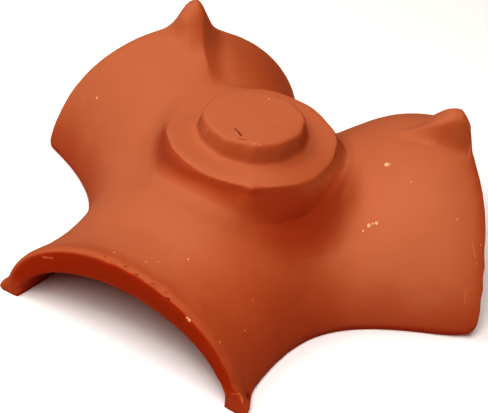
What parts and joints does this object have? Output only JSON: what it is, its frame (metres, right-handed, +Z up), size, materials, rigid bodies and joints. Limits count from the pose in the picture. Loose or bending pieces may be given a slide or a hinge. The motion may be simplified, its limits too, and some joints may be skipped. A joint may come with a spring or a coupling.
{
  "type": "ridge junction tile",
  "caption": "Hollow fired-clay ridge tile joining three vaulted arms under a round flange with a raised boss, with pinched beaks over two mouths.",
  "frame": {"origin": "on the floor under the middle of the tile's overall box", "axes": "+Z up, -Y out through the mouth of the plain arm, +X to the right of someone looking into that mouth"},
  "size_m": [0.4468, 0.385, 0.1587],
  "materials": {
    "terracotta": "matte unglazed fired clay"
  },
  "bodies": {
    "root": {"ridge_junction_tile": "terracotta"}
  },
  "joints": []
}
